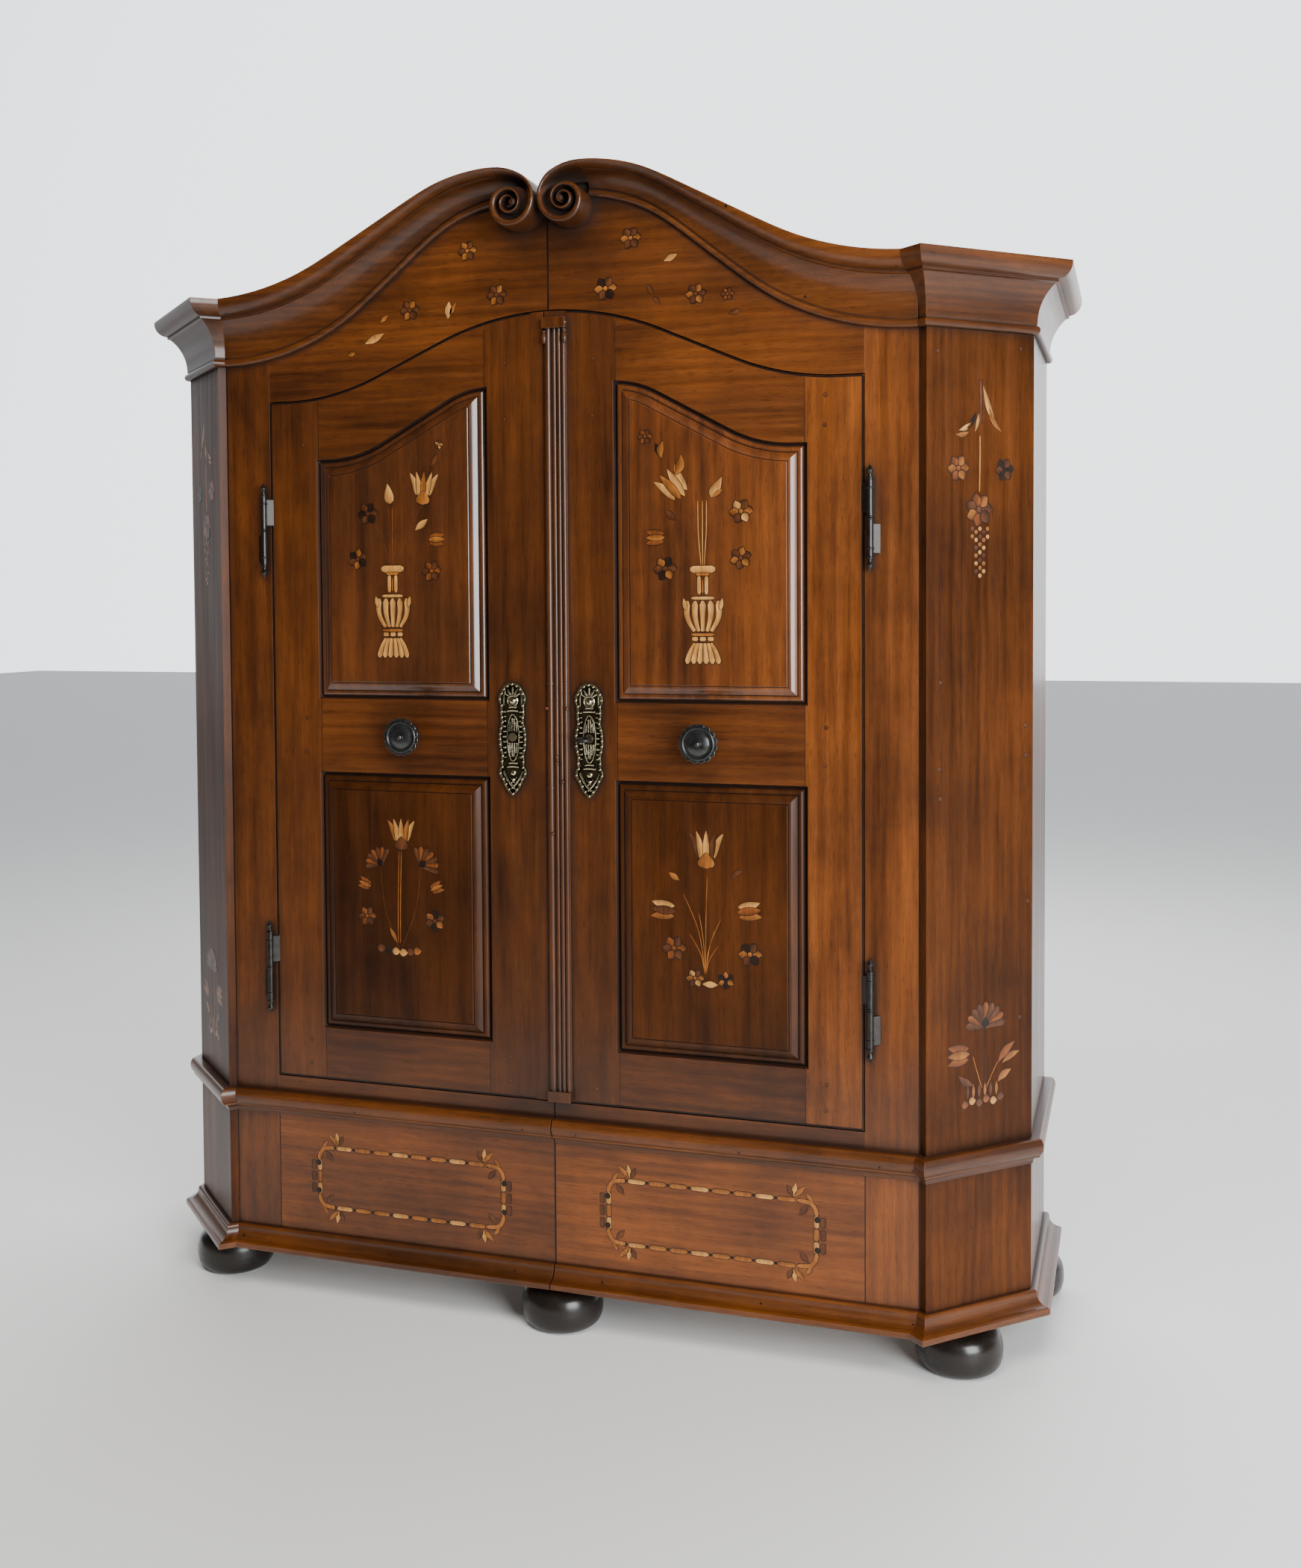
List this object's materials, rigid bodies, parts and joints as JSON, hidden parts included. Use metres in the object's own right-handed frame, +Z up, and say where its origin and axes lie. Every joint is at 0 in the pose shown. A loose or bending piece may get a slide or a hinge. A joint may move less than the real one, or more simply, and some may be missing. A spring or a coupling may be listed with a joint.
{
  "type": "wardrobe cupboard",
  "caption": "Tall two-door baroque wardrobe cupboard with canted corners, fielded panels, scrolled cornice, hung doors, turning key and sliding bolts on bun feet.",
  "frame": {"origin": "on the floor, at the centre of the middle front foot's underside", "axes": "+Z up, +Y from the front to the back, +X to the right as seen from the front"},
  "size_m": [1.9056, 0.649, 2.2182],
  "materials": {
    "walnut": "old shellac, satin",
    "walnut_moulding": "old shellac, glossy",
    "walnut_panel": "old shellac, satin",
    "softwood": "aged, unpolished",
    "black_foot": "blackened and waxed",
    "cast_brass": "aged cast brass",
    "pewter": "dark worn pewter",
    "iron": "dark forged iron, waxed"
  },
  "bodies": {
    "carcass": {"back_boards": "softwood", "base_board_left": "walnut", "base_board_right": "walnut", "base_corner_board_left": "walnut", "base_corner_board_right": "walnut", "base_moulding_left": "walnut_moulding", "base_moulding_right": "walnut_moulding", "base_stile_left": "walnut", "base_stile_right": "walnut", "bun_feet": "black_foot", "corner_board_left": "walnut", "corner_board_right": "walnut", "cornice_left": "walnut_moulding", "cornice_right": "walnut_moulding", "floor_boards": "softwood", "frame_hinge_halves": "iron", "frieze_left": "walnut", "frieze_right": "walnut", "head_rails": "walnut", "joining_battens": "softwood", "roof_boards": "softwood", "side_left": "walnut", "side_right": "walnut", "sills": "walnut", "stile_left": "walnut", "stile_right": "walnut", "volute_left": "walnut_moulding", "volute_right": "walnut_moulding", "waist_moulding_left": "walnut_moulding", "waist_moulding_right": "walnut_moulding"},
    "door_left": {"bolt_guides": "iron", "left_door_bottom_rail": "walnut", "left_door_escutcheon": "cast_brass", "left_door_hinge_halves": "iron", "left_door_inner_stile": "walnut", "left_door_knob": "pewter", "left_door_lower_panel": "walnut_panel", "left_door_middle_rail": "walnut", "left_door_outer_stile": "walnut", "left_door_top_rail": "walnut", "left_door_upper_panel": "walnut_panel", "lock_keep": "iron"},
    "door_right": {"astragal": "walnut_moulding", "lock_case": "iron", "right_door_bottom_rail": "walnut", "right_door_escutcheon": "cast_brass", "right_door_hinge_halves": "iron", "right_door_inner_stile": "walnut", "right_door_knob": "pewter", "right_door_lower_panel": "walnut_panel", "right_door_middle_rail": "walnut", "right_door_outer_stile": "walnut", "right_door_top_rail": "walnut", "right_door_upper_panel": "walnut_panel"},
    "key": {"key": "iron"},
    "lock_bolt": {"lock_bolt": "iron"},
    "top_bolt": {"top_shoot_bolt": "iron"},
    "bottom_bolt": {"bottom_shoot_bolt": "iron"}
  },
  "joints": [
    {"name": "left_door_hinge", "type": "hinge", "parent": "carcass", "child": "door_left", "pos_m": [-0.612, -0.046, 1], "axis": [0, 0, -1], "range_deg": [0, 110]},
    {"name": "right_door_hinge", "type": "hinge", "parent": "carcass", "child": "door_right", "pos_m": [0.612, -0.046, 1], "axis": [0, 0, 1], "range_deg": [0, 110]},
    {"name": "key_turn", "type": "hinge", "parent": "door_right", "child": "key", "pos_m": [0.078, -0.036, 1.148], "axis": [0, -1, 0], "range_deg": [0, 360]},
    {"name": "lock_bolt_throw", "type": "slide", "parent": "door_right", "child": "lock_bolt", "axis": [-1, 0, 0], "range_m": [0, 0.022]},
    {"name": "top_bolt_throw", "type": "slide", "parent": "door_left", "child": "top_bolt", "axis": [0, 0, 1], "range_m": [0, 0.018]},
    {"name": "bottom_bolt_throw", "type": "slide", "parent": "door_left", "child": "bottom_bolt", "axis": [0, 0, -1], "range_m": [0, 0.018]}
  ],
  "couplings": [
    {"joint": "key_turn", "follows": "lock_bolt_throw", "rad_per_m": 285.59}
  ]
}
